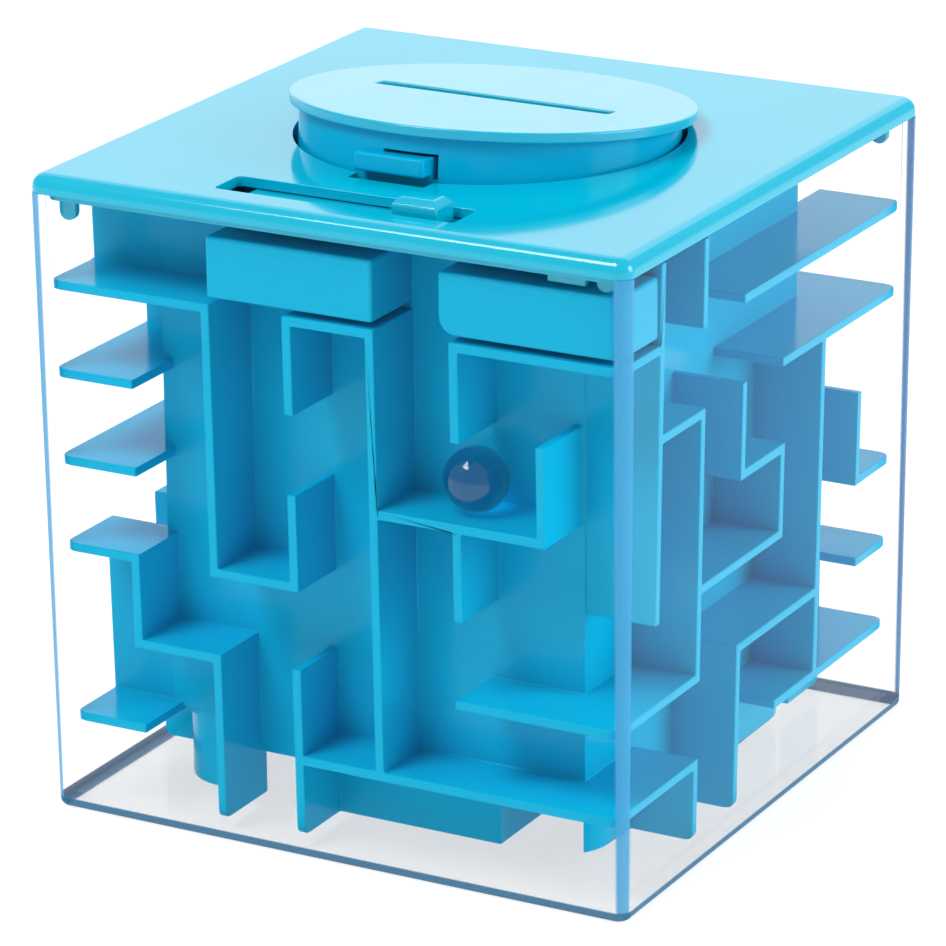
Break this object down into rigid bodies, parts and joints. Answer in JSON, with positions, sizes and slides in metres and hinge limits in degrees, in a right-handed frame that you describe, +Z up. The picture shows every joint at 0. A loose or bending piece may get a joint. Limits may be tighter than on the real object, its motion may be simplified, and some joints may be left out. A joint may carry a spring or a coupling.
{
  "type": "tilt maze game",
  "caption": "Clear cube with a blue three-dimensional ball maze around a square core, a lid with a hinged round coin hatch and a slide latch, and a marble.",
  "frame": {"origin": "centre of the clear box's flat base", "axes": "+Z up, through the lid; the front, with the slide latch, faces -Y; +X is to the right of a viewer in front"},
  "size_m": [0.09, 0.09, 0.0987],
  "materials": {
    "blue_plastic": "gloss",
    "lid_plastic": "high gloss",
    "cap_plastic": "satin gloss",
    "clear_plastic": "clear gloss",
    "teal_glass": "polished",
    "pin_steel": "brushed"
  },
  "bodies": {
    "case": {"clear_box": "clear_plastic", "lid_plate": "lid_plastic", "lid_locating_rim": "lid_plastic", "lid_corner_legs": "lid_plastic", "lid_front_rib": "lid_plastic", "hinge_pins": "pin_steel", "latch_keeper": "blue_plastic", "core_shell": "blue_plastic", "core_skirt": "blue_plastic", "core_floor": "blue_plastic", "under_core_ribs": "blue_plastic", "gate_block_left": "blue_plastic", "gate_block_right": "blue_plastic", "front_maze_walls": "blue_plastic", "right_maze_walls": "blue_plastic", "back_maze_walls": "blue_plastic", "left_maze_walls": "blue_plastic"},
    "hatch": {"hatch_disc": "cap_plastic", "hatch_skirt": "blue_plastic", "hatch_latch_lug": "blue_plastic", "hatch_hinge_ears": "blue_plastic"},
    "latch": {"latch_bar": "blue_plastic", "latch_tongue": "blue_plastic", "latch_knob": "blue_plastic"},
    "marble": {"ball": "teal_glass"}
  },
  "joints": [
    {"name": "hatch_hinge", "type": "hinge", "parent": "case", "child": "hatch", "pos_m": [0, 0.0282, 0.0902], "axis": [-1, 0, 0], "range_deg": [-6.4, 68.6]},
    {"name": "latch_slide", "type": "slide", "parent": "case", "child": "latch", "axis": [1, 0, 0], "range_m": [-0.0252, 0.002]},
    {"name": "marble_roll", "type": "slide", "parent": "case", "child": "marble", "axis": [1, 0, 0], "range_m": [-0.0071, 0.0072]}
  ]
}
